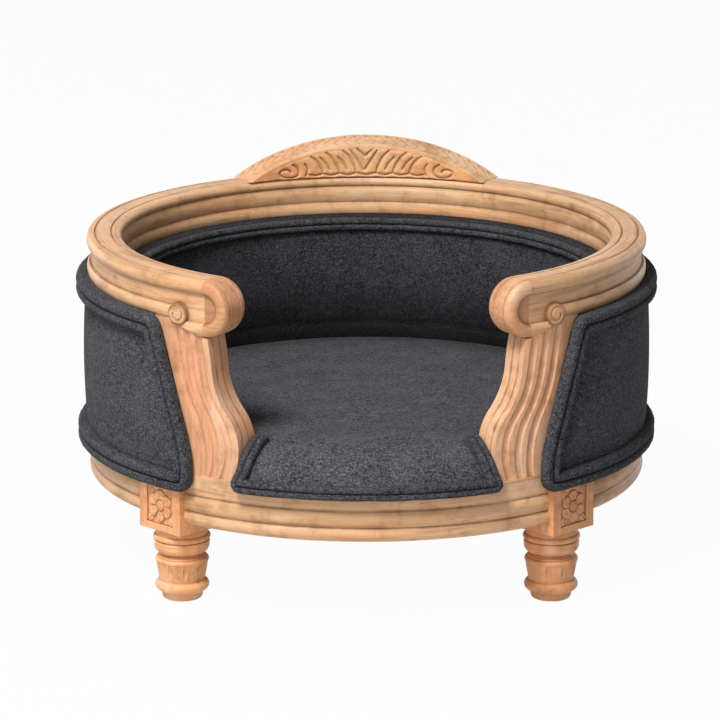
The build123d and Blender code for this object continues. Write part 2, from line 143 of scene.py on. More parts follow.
def s_line(up_shares, side_shares, width, foot, height):
    """A smooth S line: sideways place at each height."""
    known_z = foot + np.array(up_shares) * height
    known_x = np.array(side_shares) * width
    count = len(known_z)
    step = np.diff(known_z)
    rise = np.diff(known_x) / step
    system = np.zeros((count, count))
    right = np.zeros(count)
    system[0, 0] = system[-1, -1] = 1.0
    for i in range(1, count - 1):
        system[i, i - 1], system[i, i], system[i, i + 1] = (
            step[i - 1], 2 * (step[i - 1] + step[i]), step[i])
        right[i] = 6 * (rise[i] - rise[i - 1])
    bend = np.linalg.solve(system, right)

    def place(z):
        z = np.clip(np.asarray(z, float), known_z[0], known_z[-1])
        i = np.clip(np.searchsorted(known_z, z) - 1, 0, count - 2)
        t = z - known_z[i]
        return (known_x[i] + t * (rise[i] - step[i] * (2 * bend[i] + bend[i + 1]) / 6)
                + t ** 2 * bend[i] / 2 + t ** 3 * (bend[i + 1] - bend[i]) / (6 * step[i]))
    return place


post_edge = s_line(
    (0.0, 0.29, 0.42, 0.70, 1.0), (0.0, -0.116, 0.047, 0.325, 0.456), 0.075, RAIL_TOP, 0.182)
panel_edge = s_line(
    (0.0, 0.15, 0.36, 0.70, 1.0), (-0.44, -0.48, -0.315, 0.085, 0.43), 0.057, PANEL_BOTTOM,
    PAD_TOP - PANEL_BOTTOM)


def ripple(points, size, seed):
    """Smooth unevenness from -1 to 1 at each point."""
    flat = np.asarray(points, float).reshape(-1, 3) / size + seed
    values = [noise.noise(Vector(p)) for p in flat]
    return np.array(values).reshape(np.shape(points)[:-1])


def along_path(path, closed=False):
    """Unit tangents of a path."""
    if closed:
        run = np.roll(path, -1, 0) - np.roll(path, 1, 0)
    else:
        run = np.gradient(path, axis=0)
    return run / np.linalg.norm(run, axis=1, keepdims=True)


def even(path, step, closed=False):
    """The path again, with even steps."""
    if closed:
        path = np.vstack([path, path[:1]])
    lengths = np.concatenate([[0], np.cumsum(np.linalg.norm(np.diff(path, axis=0), axis=1))])
    count = max(int(lengths[-1] / step), 4)
    marks = np.linspace(0, lengths[-1], count + 1)
    if closed:
        marks = marks[:-1]
    return np.stack([np.interp(marks, lengths, path[:, k]) for k in range(path.shape[1])], -1)


def soften(path, passes, closed=False):
    """The path with its corners rounded."""
    path = path.copy()
    for _ in range(passes):
        if closed:
            path = (np.roll(path, 1, 0) + 2 * path + np.roll(path, -1, 0)) / 4
        else:
            path[1:-1] = (path[:-2] + 2 * path[1:-1] + path[2:]) / 4
    return path


def skin(stations, closed=False, capped=True):
    """Points and faces over stations that each go round the piece."""
    count, around = stations.shape[:2]
    faces = []
    for i in range(count if closed else count - 1):
        j = (i + 1) % count
        for k in range(around):
            m = (k + 1) % around
            faces.append((i * around + k, j * around + k, j * around + m, i * around + m))
    if capped and not closed:
        faces.append(tuple(reversed(range(around))))
        faces.append(tuple(range((count - 1) * around, count * around)))
    return stations.reshape(-1, 3), faces


def sheet_faces(rows, columns, closed=False):
    """Faces over a grid of points, whose rows may run round."""
    pairs = [(k, (k + 1) % columns) for k in range(columns if closed else columns - 1)]
    return [
        (i * columns + k, i * columns + m, (i + 1) * columns + m, (i + 1) * columns + k)
        for i in range(rows - 1) for k, m in pairs]


def make_piece(name, points, faces, finish, nodes=(), crease=50.0, marks=None):
    """A finished piece that stands for the named nodes, with marks as values at its points."""
    mesh = bpy.data.meshes.new(name)
    mesh.from_pydata([tuple(p) for p in points], [], faces)
    work = bmesh.new()
    work.from_mesh(mesh)
    for mark, values in (marks or {}).items():
        layer = work.verts.layers.float.new(mark)
        for vert, value in zip(work.verts, values):
            vert[layer] = value
    bmesh.ops.remove_doubles(work, verts=work.verts, dist=0.00001)
    bmesh.ops.dissolve_degenerate(work, edges=work.edges, dist=0.00001)
    bmesh.ops.recalc_face_normals(work, faces=work.faces)
    work.to_mesh(mesh)
    work.free()
    mesh.shade_smooth()
    mesh.set_sharp_from_angle(angle=radians(crease))
    piece = bpy.data.objects.new(name, mesh)
    bpy.context.scene.collection.objects.link(piece)
    mesh.materials.append(finish)
    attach(piece, "root")
    if nodes:
        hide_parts(*nodes)
    return piece


def thin_out(mesh, reach):
    """Merge the points of the seat's top that crowd within a reach of the Z axis."""
    least_gap, underside = 0.0034, 0.17
    work = bmesh.new()
    work.from_mesh(mesh)
    crowd = [v for v in work.verts if v.co.xy.length < reach and v.co.z > underside]
    bmesh.ops.remove_doubles(work, verts=crowd, dist=least_gap)
    work.to_mesh(mesh)
    work.free()


def settle_cloth(piece):
    """Let a piece's cloth settle over its padding for a while, its seams held fast."""
    slack, reach, last_frame = 0.001, 0.003, 20
    scene, mesh = bpy.context.scene, piece.data
    start = np.empty(3 * len(mesh.vertices))
    mesh.vertices.foreach_get("co", start)
    held = piece.vertex_groups.new(name="held")
    for index, loose in enumerate(mesh.attributes["loose"].data):
        held.add((index,), 1 - loose.value, "REPLACE")
    cloth = piece.modifiers.new("cloth", "CLOTH")
    felt = cloth.settings
    felt.quality = 4
    felt.mass = 0.25
    felt.tension_stiffness = felt.compression_stiffness = 25.0
    felt.shear_stiffness = 12.0
    felt.bending_stiffness = 1.5
    felt.air_damping = 3.0
    felt.vertex_group_mass = "held"
    felt.shrink_min = -slack
    felt.use_pressure = True
    felt.uniform_pressure_force = 4.0
    felt.effector_weights.gravity = 0.0
    cloth.collision_settings.use_collision = False
    cloth.point_cache.frame_start, cloth.point_cache.frame_end = 1, last_frame
    for step in range(1, last_frame + 1):
        scene.frame_set(step)
    view = bpy.context.evaluated_depsgraph_get()
    settled = piece.evaluated_get(view)
    end = np.empty(len(start))
    settled.data.vertices.foreach_get("co", end)
    scene.frame_set(1)
    piece.modifiers.remove(cloth)
    moved = (end - start).reshape(-1, 3)
    length = np.linalg.norm(moved, axis=1, keepdims=True)
    # The longer a move, the more it is held back, so none goes past the reach
    mesh.vertices.foreach_set("co", start + (moved / (1 + length / reach)).ravel())
    mesh.update()


def double_welt(path, outwards, cord, seed, closed=False):
    """Stations of two cords side by side under one strip of cloth, along a path on the cloth."""
    pitch, sink = 2 * cord - 0.0005, 0.0008
    ahead = along_path(path, closed)
    outwards = outwards - (outwards * ahead).sum(1, keepdims=True) * ahead
    outwards = outwards / np.linalg.norm(outwards, axis=1, keepdims=True)
    across = np.cross(outwards, ahead)
    section = [(-pitch / 2 - cord * 0.9, -sink)]
    section += [
        (-pitch / 2 + cord * cos(radians(a)), cord + cord * sin(radians(a)))
        for a in range(200, 24, -16)]
    section += [(0.0, cord * 0.62)]
    section += [
        (pitch / 2 - cord * cos(radians(a)), cord + cord * sin(radians(a)))
        for a in range(24, 201, 16)]
    section += [(pitch / 2 + cord * 0.9, -sink)]
    section = np.array(section)
    swell = 1 + 0.035 * ripple(path, 0.012, seed)[:, None]
    sway = 0.0003 * ripple(path, 0.03, seed + 9)[:, None]
    side = section[None, :, 0] * swell + sway
    rise = section[None, :, 1] * swell
    return path[:, None] + across[:, None] * side[..., None] + outwards[:, None] * rise[..., None]


# Finishes

def new_finish(name):
    """An empty material and its node tree."""
    finish = bpy.data.materials.new(name)
    finish.use_nodes = True
    finish.node_tree.nodes.clear()
    return finish, finish.node_tree


def put(tree, kind, sockets=None, **settings):
    """A node with its settings; its sockets take values or links."""
    node = tree.nodes.new(kind)
    for key, value in settings.items():
        setattr(node, key, value)
    for key, value in (sockets or {}).items():
        if isinstance(value, bpy.types.NodeSocket):
            tree.links.new(value, node.inputs[key])
        else:
            node.inputs[key].default_value = value
    return node


def sum_of(tree, kind, first, second=0.0, third=0.0):
    """One step of arithmetic."""
    return put(tree, "ShaderNodeMath", {0: first, 1: second, 2: third}, operation=kind).outputs[0]


def times(tree, first, second):
    """A product."""
    return sum_of(tree, "MULTIPLY", first, second)


def plus(tree, first, second):
    """A sum."""
    return sum_of(tree, "ADD", first, second)


def rest_of(tree, share):
    """What a share leaves of 1."""
    return sum_of(tree, "SUBTRACT", 1.0, share)


def blend_colours(tree, share, first, second):
    """Two colours mixed by a share."""
    node = put(tree, "ShaderNodeMix", {0: share}, data_type="RGBA")
    for socket, value in ((node.inputs[6], first), (node.inputs[7], second)):
        if isinstance(value, bpy.types.NodeSocket):
            tree.links.new(value, socket)
        else:
            socket.default_value = (*value, 1.0)
    return node.outputs[2]


def steps(tree, value, low, high):
    """0 below low, 1 above high."""
    return put(
        tree, "ShaderNodeMapRange", {0: value, 1: low, 2: high, 3: 0.0, 4: 1.0},
        interpolation_type="SMOOTHSTEP").outputs[0]


def laid_over(tree, shade, layers):
    """The shade under layers of other colours, each where its value goes from low to high."""
    for value, low, high, amount, colour in layers:
        share = times(tree, steps(tree, value, low, high), amount)
        shade = blend_colours(tree, share, shade, colour)
    return shade


def cloudy(tree, vector, scale, detail, roughness):
    """Plain noise."""
    return put(tree, "ShaderNodeTexNoise", {
        "Vector": vector, "Scale": scale, "Detail": detail, "Roughness": roughness}).outputs[0]


def grained(tree, vector, scale, stretch, detail, seed):
    """Noise drawn out along the first axis."""
    laid = put(tree, "ShaderNodeMapping", {
        "Vector": vector, "Location": (seed, seed * 0.7, seed * 1.3),
        "Scale": (scale * stretch, scale, scale)})
    return cloudy(tree, laid.outputs[0], 1.0, detail, 0.55)


def sheltered(tree, reach, low, high, only_local=True):
    """1 in the hollows within a reach, 0 in the open, by ambient occlusion; the finishes paint
    shade with it.
    """
    light = put(
        tree, "ShaderNodeAmbientOcclusion", {"Distance": reach}, samples=6,
        only_local=only_local)
    return rest_of(tree, steps(tree, light.outputs["AO"], low, high))


def turned_place(tree, turn):
    """Coordinates on the sofa, turned so that a turn of its plan faces the front."""
    place = put(tree, "ShaderNodeTexCoord").outputs["Object"]
    return put(tree, "ShaderNodeMapping", {
        "Vector": place, "Rotation": (0, 0, -radians(turn))}).outputs[0]


def radius_of(tree, x, y):
    """Distance from the Z axis."""
    return sum_of(tree, "SQRT", plus(tree, times(tree, x, x), times(tree, y, y)))


def away_from(tree, turn, along, height):
    """Distance from a point on the upright plane that faces a turn."""
    flat = put(tree, "ShaderNodeVectorMath", {0: turned_place(tree, turn), 1: (1, 0, 1)},
               operation="MULTIPLY").outputs[0]
    return put(tree, "ShaderNodeVectorMath", {0: flat, 1: (along, 0, height)},
               operation="DISTANCE").outputs["Value"]


def lay_along(tree, lie, middle):
    """Coordinates with the grain or the cloth's length along the first axis."""
    split = put(tree, "ShaderNodeSeparateXYZ", {0: turned_place(tree, middle)})
    x, y, z = split.outputs
    if lie == "up":
        order = (z, x, y)
    elif lie == "across":
        order = (x, y, z)
    else:
        turn = sum_of(tree, "ARCTAN2", x, times(tree, y, -1.0))
        order = (times(tree, turn, GRAIN_RADIUS), radius_of(tree, x, y), z)
    return put(tree, "ShaderNodeCombineXYZ", dict(enumerate(order))).outputs[0]


def groove_gap(tree, grooves, rounds):
    """Distance to the nearest groove: at radii and heights, or round circles on upright faces."""
    split = put(tree, "ShaderNodeSeparateXYZ", {0: turned_place(tree, 0.0)})
    x, y, z = split.outputs
    reach = radius_of(tree, x, y)
    section = put(tree, "ShaderNodeCombineXYZ", {1: reach, 2: z}).outputs[0]
    gap = 1.0
    for radius, height in grooves:
        if height is None:
            away = sum_of(tree, "ABSOLUTE", sum_of(tree, "SUBTRACT", reach, radius))
        else:
            away = put(tree, "ShaderNodeVectorMath", {0: section, 1: (0, radius, height)},
                       operation="DISTANCE").outputs["Value"]
        gap = sum_of(tree, "MINIMUM", gap, away)
    for turn, along, height, radius in rounds:
        away = sum_of(tree, "ABSOLUTE", sum_of(
            tree, "SUBTRACT", away_from(tree, turn, along, height), radius))
        # The inner side of the rail has no such circle
        inside = steps(tree, reach, 0.326, 0.320)
        gap = sum_of(tree, "MINIMUM", gap, plus(tree, away, inside))
    return gap


def timber(name, colour, lie, middle, seed, figure, grooves=(), rounds=(), stain=0.0,
           dust_and_shade_amount=0.70):
    """Oiled hardwood: drawn-out figure, growth lines, pores, small knots, and dust with painted
    shade in its hollows and cuts.
    """
    finish, tree = new_finish(name)
    lay = lay_along(tree, lie, middle)
    base = Vector(colour)
    rosy = base * Vector((1.04, 0.80, 0.72))
    brown = base * Vector((0.46, 0.36, 0.28))
    soot = base * Vector((0.16, 0.12, 0.10))
    pale = Vector((min(base.x * 1.12, 0.9), min(base.y * 1.18, 0.85), min(base.z * 1.28, 0.75)))
    chalk = Vector((0.86, 0.66, 0.50))

    drift = grained(tree, lay, 16.0, 0.22, 3.0, seed)
    cloud = grained(tree, lay, 26.0, 0.12, 4.0, seed + 3.1)
    streak = grained(tree, lay, 150.0, 0.05, 4.0, seed + 5.7)
    fibre = grained(tree, lay, 900.0, 0.035, 3.0, seed + 8.3)
    pore = grained(tree, lay, 1700.0, 0.07, 2.0, seed + 1.9)
    rubbed = grained(tree, lay, 30.0, 0.35, 4.0, seed + 12.4)
    blotch = cloudy(tree, lay, 34.0, 5.0, 0.65)

    # Growth lines follow tilted planes that the drift bends
    ring_width = 0.0075
    parts = put(tree, "ShaderNodeSeparateXYZ", {0: lay})
    level = plus(tree, times(tree, parts.outputs[1], 0.75), times(tree, parts.outputs[2], 0.66))
    bent = sum_of(tree, "MULTIPLY_ADD", drift, 0.055, level)
    rings = sum_of(tree, "SINE", times(tree, bent, 2 * pi / ring_width))
    rings = sum_of(tree, "POWER", sum_of(tree, "MULTIPLY_ADD", rings, 0.5, 0.5), 2.2)

    shade = blend_colours(tree, steps(tree, cloud, 0.36, 0.60), pale, base)
    shade = laid_over(tree, shade, (
        (drift, 0.42, 0.72, 0.60, rosy), (blotch, 0.48, 0.70, 0.50, brown)))
    shade = blend_colours(tree, times(tree, rings, 0.15 * figure), shade, brown)
    shade = laid_over(tree, shade, (
        (streak, 0.50, 0.74, 0.60 * figure, brown), (fibre, 0.45, 0.75, 0.26, brown),
        (pore, 0.64, 0.74, 0.60, soot)))

    # A small knot in one cell out of four
    spread = put(tree, "ShaderNodeMapping", {
        "Vector": lay, "Location": (seed * 3, seed * 2, seed), "Scale": (11.0, 24.0, 24.0)})
    cells = put(tree, "ShaderNodeTexVoronoi", {"Vector": spread.outputs[0], "Scale": 1.0})
    chosen = put(tree, "ShaderNodeSeparateColor", {0: cells.outputs["Color"]})
    knot = times(tree, steps(tree, chosen.outputs[0], 0.74, 0.76), rest_of(
        tree, steps(tree, cells.outputs["Distance"], 0.03, 0.13)))
    shade = blend_colours(tree, times(tree, knot, 0.75), shade, brown)

    # Dust and painted shade in the hollows, rubbed chalk, then dirt and painted shade in the
    # carving and the grooves
    dust_and_shade = times(tree, sheltered(tree, 0.009, 0.40, 0.96), dust_and_shade_amount)
    shade = blend_colours(tree, dust_and_shade, shade, brown)
    shade = laid_over(tree, shade, ((rubbed, 0.56, 0.72, 0.34, chalk),))
    carved = put(tree, "ShaderNodeAttribute", attribute_name="cut").outputs["Fac"]
    if grooves or rounds:
        gap = groove_gap(tree, grooves, rounds)
        patchy = sum_of(tree, "MULTIPLY_ADD", steps(tree, blotch, 0.34, 0.62), 0.65, 0.35)
        line = rest_of(tree, steps(tree, gap, 0.0004, 0.0030))
        carved = sum_of(tree, "MAXIMUM", carved, times(tree, line, patchy))
    # Dirt and painted shade: the carving's marks and the lines along the grooves darken the wood
    shade = blend_colours(tree, times(tree, carved, 0.78), shade, brown * 0.62)
    if stain:
        *eye, radius = rounds[0]
        shade = laid_over(tree, shade, (
            (away_from(tree, *eye), radius, radius - 0.002, stain, brown),))

    rough = put(tree, "ShaderNodeMapRange", {0: streak, 1: 0.3, 2: 0.7, 3: 0.40, 4: 0.56})
    rounded = put(tree, "ShaderNodeBevel", {"Radius": 0.0009}, samples=4)
    relief = sum_of(tree, "SUBTRACT", times(tree, fibre, 0.5),
                    times(tree, steps(tree, pore, 0.64, 0.74), 0.6))
    relief = sum_of(tree, "MULTIPLY_ADD", streak, 0.9, relief)
    bump = put(tree, "ShaderNodeBump", {
        "Strength": 0.45, "Distance": 0.0004, "Height": relief, "Normal": rounded.outputs[0]})
    shader = put(tree, "ShaderNodeBsdfPrincipled", {
        "Base Color": shade, "Roughness": rough.outputs[0], "Normal": bump.outputs[0],
        "Specular IOR Level": 0.42})
    put(tree, "ShaderNodeOutputMaterial", {0: shader.outputs[0]})
    return finish


def heather_wool(name, lie="ring", tone_and_painted_light=1.0, seam_shade=0.75, shelter_shade=0.0):
    """Felted wool cloth: charcoal yarn with pale fibres, a faint twill, a soft bloom, and painted
    shade in its creases.
    """
    colours = bpy.context.scene.sofa_colours
    finish, tree = new_finish(name)
    lay = lay_along(tree, lie, 0.0)
    base = Vector(colours.wool) * tone_and_painted_light
    deep = base * 0.32
    light = Vector(colours.fleck) * tone_and_painted_light
    cloud = cloudy(tree, lay, 24.0, 3.0, 0.6)
    tuft = cloudy(tree, lay, 170.0, 4.0, 0.75)
    grain = cloudy(tree, lay, 430.0, 4.0, 0.85)
    leaning = put(tree, "ShaderNodeMapping", {"Vector": lay, "Rotation": (0.5, 0.9, 1.2)})
    hairs = sum_of(
        tree, "MAXIMUM",
        steps(tree, grained(tree, lay, 760.0, 0.18, 2.0, 2.0), 0.60, 0.70),
        steps(tree, grained(tree, leaning.outputs[0], 820.0, 0.16, 2.0, 6.0), 0.61, 0.71))

    shade = blend_colours(tree, steps(tree, tuft, 0.38, 0.58), deep, base)
    shade = laid_over(tree, shade, (
        (cloud, 0.42, 0.66, 0.40, base * 1.7), (grain, 0.47, 0.60, 0.62, light)))
    shade = blend_colours(tree, times(tree, hairs, 0.55), shade, light * 1.4)

    rib_width = 0.0017
    parts = put(tree, "ShaderNodeSeparateXYZ", {0: lay})
    rise = parts.outputs[1] if lie == "across" else parts.outputs[2]
    slant = times(tree, plus(tree, parts.outputs[0], rise), 2 * pi / rib_width)
    twill = sum_of(tree, "SINE", sum_of(tree, "MULTIPLY_ADD", tuft, 14.0, slant))
    relief = sum_of(tree, "MULTIPLY_ADD", twill, 0.16, sum_of(
        tree, "MULTIPLY_ADD", grain, 1.0, times(tree, tuft, 0.9)))
    relief = sum_of(tree, "MULTIPLY_ADD", hairs, 0.35, relief)
    bump = put(tree, "ShaderNodeBump", {
        "Strength": 0.75, "Distance": 0.0009, "Height": relief})
    # Painted shade in the creases beside the seams and welts
    dark = times(tree, sheltered(tree, 0.006, 0.25, 0.85), seam_shade)
    shade = blend_colours(tree, dark, shade, deep * 0.4)
    # Painted shade over a wide reach, where the seat and the back pad shade each other
    if shelter_shade:
        dark = times(tree, sheltered(tree, 0.12, 0.42, 0.90, False), shelter_shade)
        shade = blend_colours(tree, dark, shade, deep * 0.3)
    shader = put(tree, "ShaderNodeBsdfPrincipled", {
        "Base Color": shade, "Normal": bump.outputs[0], "Roughness": 1.0,
        "Specular IOR Level": 0.10, "Sheen Weight": 0.02, "Sheen Roughness": 0.45,
        "Sheen Tint": (0.92, 0.94, 1.0, 1.0)})
    put(tree, "ShaderNodeOutputMaterial", {0: shader.outputs[0]})
    return finish


def lick(node, finish):
    """Give a wooden node its finish."""
    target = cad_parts[node].data
    if len(target.materials) == 0:
        target.materials.append(finish)
    for index in range(len(target.materials)):
        target.materials[index] = finish


# Pieces

def stretch_cloth(name, stations, loose, finish, node, crowded=0.0):
    """Wool cloth that stands for a node, settled over its padding where it is loose."""
    points, faces = skin(stations)
    piece = make_piece(
        name, points, faces, finish, (node,), marks={"loose": loose})
    if crowded:
        thin_out(piece.data, crowded)
    settle_cloth(piece)
    return piece


def sew_welt(name, finish_name, stations, nodes, closed=False):
    """A double welt of wool that stands for the named nodes."""
    points, faces = skin(stations, closed)
    finish = heather_wool(finish_name, tone_and_painted_light=0.95, seam_shade=0.45)
    piece = make_piece(name, points, faces, finish, nodes, WELT_CREASE)


class SOFA_OT_timber(bpy.types.Operator):
    """Finish the rails, legs, posts, stiles, scrolls and the seat board"""

    bl_idname = "dog_sofa.timber"
    bl_label = "Finish Timber"

    def execute(self, context):
        colours = context.scene.sofa_colours
        rail, carved, post, dark = map(Vector, (
            colours.rail_wood, colours.carved_wood, colours.post_wood, colours.dark_wood))
        # Grooves as radius and height, or as a radius alone on the posts
        base = ((0.3324, 0.1175), (0.3324, 0.138))
        top = ((0.3320, 0.379), (0.3320, 0.360), (0.2945, 0.382), (0.2945, 0.3615),
               (0.326, 0.3932), (0.3066, 0.3932))
        # Painted shade: dark lines at these radii stand for the shade in flutes on the posts' flat
        # inner sides
        flute_shade = ((0.3225, None), (0.3085, None))
        # Round grooves as turn, place along the rail, height and radius
        rounds = {}
        for side, name in ((1, "right"), (-1, "left")):
            turn = side * SCROLL_TURN
            rounds[f"top_rail_{name}"] = ((turn, side * 0.0363, EYE_HEIGHT, 0.0126),)
            rounds[f"arm_scroll_{name}"] = ((turn, 0.0, 0.3615, 0.0175),)
        scroll_stain = 0.38
        for node, shade, lie, middle, seed, figure, grooves in (
            ("front_rail", rail * 0.98, "ring", 0.0, 0.3, 1.0, base),
            ("side_rail_right", rail * 0.86, "ring", 90.0, 1.7, 0.9, base),
            ("rear_rail", rail, "ring", 180.0, 2.9, 0.9, base),
            ("side_rail_left", rail * 0.96, "ring", 270.0, 4.1, 1.0, base),
            ("top_rail_back", rail * 1.06, "ring", 180.0, 5.3, 0.9, top),
            ("top_rail_right", rail * 0.94, "ring", 92.0, 6.1, 1.15, top),
            ("top_rail_left", rail * 0.98, "ring", 268.0, 7.7, 1.1, top),
            ("arm_scroll_left", dark * 1.02, "ring", FULL_TURN - SCROLL_TURN, 8.2, 1.0, ()),
            ("arm_scroll_right", dark * 1.10, "ring", SCROLL_TURN, 9.6, 0.9, ()),
            ("arm_post_left", post * 0.96, "up", -POST_TURN, 10.4, 0.6, flute_shade),
            ("arm_post_right", post * 1.10, "up", POST_TURN, 11.8, 0.6, flute_shade),
            ("leg_front_left", carved * 1.04, "up", -45.0, 12.5, 0.4, ()),
            ("leg_front_right", carved * 0.92, "up", 45.0, 13.1, 0.4, ()),
            ("leg_rear_left", carved, "up", 225.0, 14.6, 0.6, ()),
            ("leg_rear_right", carved * 0.97, "up", 135.0, 15.2, 0.6, ()),
        ):
            lick(node, timber(
                f"timber_{node}", shade, lie, middle, seed, figure, grooves,
                rounds.get(node, ()), scroll_stain * node.startswith("arm_scroll")))
        plain = timber("timber_hidden", colours.hidden_wood, "up", 0.0, 16.0, 0.7)
        for node in (
            "side_stile_left", "side_stile_right", "rear_stile_left", "rear_stile_right",
        ):
            lick(node, plain)
        lick("seat_board", timber("plywood_board", colours.plywood, "across", 0.0, 17.0, 0.8))
        return {"FINISHED"}


def cut_depth(places, cuts, width):
    """How deep the nearest of the carved lines is at each place, from 0 to 1."""
    deepest = np.zeros(len(places))
    at_once = 20000
    for cut in cuts:
        line = soften(even(np.array(cut, float), 0.0008), 14)
        for start in range(0, len(places), at_once):
            block = places[start:start + at_once]
            gap = np.sqrt(((block[:, None] - line[None]) ** 2).sum(2))
            along = gap.argmin(1) / (len(line) - 1)
            # Each cut is widest near its middle
            thick = width * (0.55 + 0.45 * np.sin(np.pi * np.clip(along * 0.86 + 0.07, 0, 1)))
            depth = np.exp(-(gap.min(1) / thick) ** 2)
            deepest[start:start + at_once] = np.maximum(deepest[start:start + at_once], depth)
    return deepest


def hollows(relief, passes, deep):
    """How sunken each place of a grid lies among its neighbours, from 0 to 1."""
    mean = relief
    for _ in range(passes):
        wide = np.pad(mean, 1, mode="edge")
        mean = (wide[:-2, 1:-1] + wide[2:, 1:-1] + wide[1:-1, :-2] + wide[1:-1, 2:]
                + 2 * mean) / 6
    return np.clip((mean - relief) / deep, 0, 1)


class SOFA_OT_crest(bpy.types.Operator):
    """Carve the arched crest board: acanthus lobes on its face and chevrons along its top"""

    bl_idname = "dog_sofa.crest"
    bl_label = "Carve Crest"

    def execute(self, context):
        sizes, colours = context.scene.sofa_sizes, context.scene.sofa_colours
        half_turn, front_rise, back_rise = 30.0, 0.0404, 0.0460
        depth = FRAME_RADIUS - INNER_RADIUS

        def top_height(turn, radius):
            """Height of the arch over a place on the board."""
            x = radius * np.sin(np.radians(turn))
            y = radius * np.cos(np.radians(turn))
            half = y * tan(radians(half_turn))
            rise = front_rise + (y - INNER_RADIUS) * (back_rise - front_rise) / depth
            ball = (half ** 2 + rise ** 2) / (2 * rise)
            return ARM_TOP + np.maximum(
                np.sqrt(np.maximum(ball ** 2 - x ** 2, 0)) - (ball - rise), 0)

        # Carved lines as shares of the half width and of the rise, on the left half and mirrored
        half_width = INNER_RADIUS * sin(radians(half_turn))
        left = (
            ((-.078, .903), (-.035, .75), (-.009, .611), (.012, .72), (.052, .87)),
            ((-.138, .87), (-.075, .50), (-.017, .092), (.040, .48), (.095, .84)),
            ((-.199, .84), (-.150, .66), (-.121, .45), (-.095, .20), (-.086, 0)),
            ((-.345, .78), (-.300, .62), (-.268, .42), (-.240, .20), (-.225, 0)),
            ((-.475, .65), (-.435, .54), (-.406, .39), (-.380, .18), (-.371, 0)),
            ((-.527, .39), (-.505, .28), (-.500, .16), (-.508, .05), (-.518, -.03)),
            ((-.242, .61), (-.200, .42), (-.164, .16)),
            ((-.397, .61), (-.350, .42), (-.311, .16)),
            ((-.630, .39), (-.590, .29), (-.579, .16), (-.575, .06), (-.587, 0)),
            ((-.587, .0), (-.620, -.08), (-.656, -.10), (-.710, -.05), (-.745, .08),
             (-.735, .19), (-.695, .24), (-.656, .20), (-.648, .12)),
        )
        scallops = tuple(
            ((a, .02), ((a + b) / 2, -.07), (b, .02))
            for a, b in ((-.086, .075), (-.225, -.086), (-.371, -.225), (-.508, -.371)))
        foot = 0.10
        shares = [[(x, foot + z * (1 - foot) * 0.97) for x, z in cut] for cut in left + scallops]
        mirrored = [[(-x, z) for x, z in cut] for cut in shares[2:]]
        cuts = [
            [(x * half_width, z * front_rise) for x, z in cut] for cut in shares + mirrored]

        turns = np.linspace(-half_turn, half_turn, 441)
        ups = np.linspace(0, 1, 64)
        face_top = top_height(turns, INNER_RADIUS + 0.0022) - ARM_TOP - 0.0016
        height = np.maximum(face_top, 0)[:, None] * ups[None]
        across = INNER_RADIUS * np.sin(np.radians(turns))[:, None] + 0 * height
        places = np.stack([across, height], -1).reshape(-1, 2)
        depths = cut_depth(places, cuts, 0.00125).reshape(height.shape)
        # Lobes swell between their cuts
        swell = np.clip(1 - cut_depth(places, cuts, 0.0042).reshape(height.shape), 0, 1)
        field = ease((0.83 - np.abs(across) / half_width) / 0.08) * ease(
            (face_top[:, None] - height) / 0.004 - 0.6)
        out = 0.0007 * swell * field - sizes.carving_depth * depths
        fade = ease(height / 0.0015) * ease((face_top[:, None] - height) / 0.002)
        face = spot(180 - turns[:, None], INNER_RADIUS - out * fade, ARM_TOP + height)
        # The timber darkens the carved lines by this share: dirt with painted shade
        face_cut = 0.28 * depths ** 1.5 * fade

        # Chevrons pressed into the top, with notches along the outer edge
        reach = np.linspace(0.0012, depth - 0.0006, 26)
        radius = INNER_RADIUS + reach[None] + 0 * turns[:, None]
        turn = turns[:, None] + 0 * radius
        arc = np.abs(turn) * radius * pi / 180
        share = reach[None] / depth + 0 * turn
        pitch, chevron_depth, notch_depth = 0.0135, 0.0012, 0.0014
        chevron = np.abs(np.mod(arc / pitch + 0.9 * np.abs(share - 0.45) * 2, 1.0) - 0.5) * 2
        stroke = np.exp(-((1 - chevron) / 0.15) ** 2) * ease((share - 0.14) / 0.1) * ease(
            (0.97 - share) / 0.10)
        notch = np.exp(-((1 - np.abs(np.mod(arc / pitch, 1.0) - 0.5) * 2) / 0.24) ** 2) * ease(
            (share - 0.72) / 0.12) * ease((1.0 - share) / 0.08)
        press = (chevron_depth * stroke + notch_depth * notch) * ease(
            (half_turn - np.abs(turn)) / 2.5)
        roof = top_height(turn, radius) - press
        # A light bevel along the inner edge and a worn outer edge
        roof = roof - 0.0022 * ease(1 - reach[None] / 0.0034)
        roof = np.maximum(roof, ARM_TOP)
        top = spot(180 - turn, radius, roof)
        drop = np.linspace(0.97, 0, 12)[None]
        last = np.maximum(roof[:, -1:] - ARM_TOP - 0.0005, 0)
        back = spot(180 - turns[:, None], FRAME_RADIUS, ARM_TOP + last * drop)
        points, faces = skin(np.concatenate([face, top, back], 1))
        # The chevrons and notches are darkened likewise: dirt with painted shade
        cut = np.concatenate([
            face_cut, np.clip(0.45 * stroke + 0.75 * notch, 0, 1), 0 * back[..., 0]], 1).ravel()
        finish = timber(
            "timber_crest", Vector(colours.carved_wood) * 1.18, "across", 0.0, 21.0, 0.3,
            dust_and_shade_amount=0.35)
        piece = make_piece(
            "crest_carving", points, faces, finish, ("crest_board",), 60.0,
            {"cut": cut})
        # The top is as pale as the rail
        piece.data.materials.append(timber(
            "timber_crest_top", Vector(colours.rail_wood) * 1.08, "across", 0.0, 22.0, 0.6))
        for polygon in piece.data.polygons:
            if polygon.normal.z > 0.3 or polygon.normal.y > 0.5:
                polygon.material_index = 1
        return {"FINISHED"}


